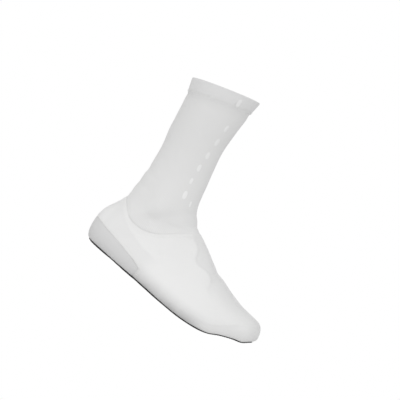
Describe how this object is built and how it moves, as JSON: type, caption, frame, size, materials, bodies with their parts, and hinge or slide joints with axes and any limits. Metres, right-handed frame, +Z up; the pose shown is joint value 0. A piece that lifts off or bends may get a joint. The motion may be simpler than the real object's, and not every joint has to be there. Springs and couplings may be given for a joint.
{
  "type": "cycling oversock",
  "caption": "White right-foot cycling oversock in its worn form: an open leg tube, a smooth foot cover and a black sole with cleat and heel windows.",
  "frame": {"origin": "the heel seat: a point on the foot bed, 35 mm in front of the back of the heel, where the heel of the shoe stands in the sock", "axes": "+X to the toe, +Y to the inner side of the right foot, +Z up from the foot bed; the leg leans back from +Z by about 15 degrees"},
  "size_m": [0.3164, 0.1057, 0.306],
  "materials": {
    "cuff_cloth": "matt white elastic knit",
    "sleeve_cloth": "matt white fine rib knit",
    "cover_cloth": "smooth white coated stretch cloth",
    "heel_cloth": "pale grey woven stretch cloth",
    "sole_cloth": "black hard-wearing woven cloth",
    "seam_thread": "white polyester thread",
    "gloss_print": "glossy white rubber print"
  },
  "bodies": {
    "root": {"cuff_band": "cuff_cloth", "leg_sleeve": "sleeve_cloth", "foot_cover": "cover_cloth", "heel_panel": "heel_cloth", "sole_panel": "sole_cloth"}
  },
  "joints": []
}
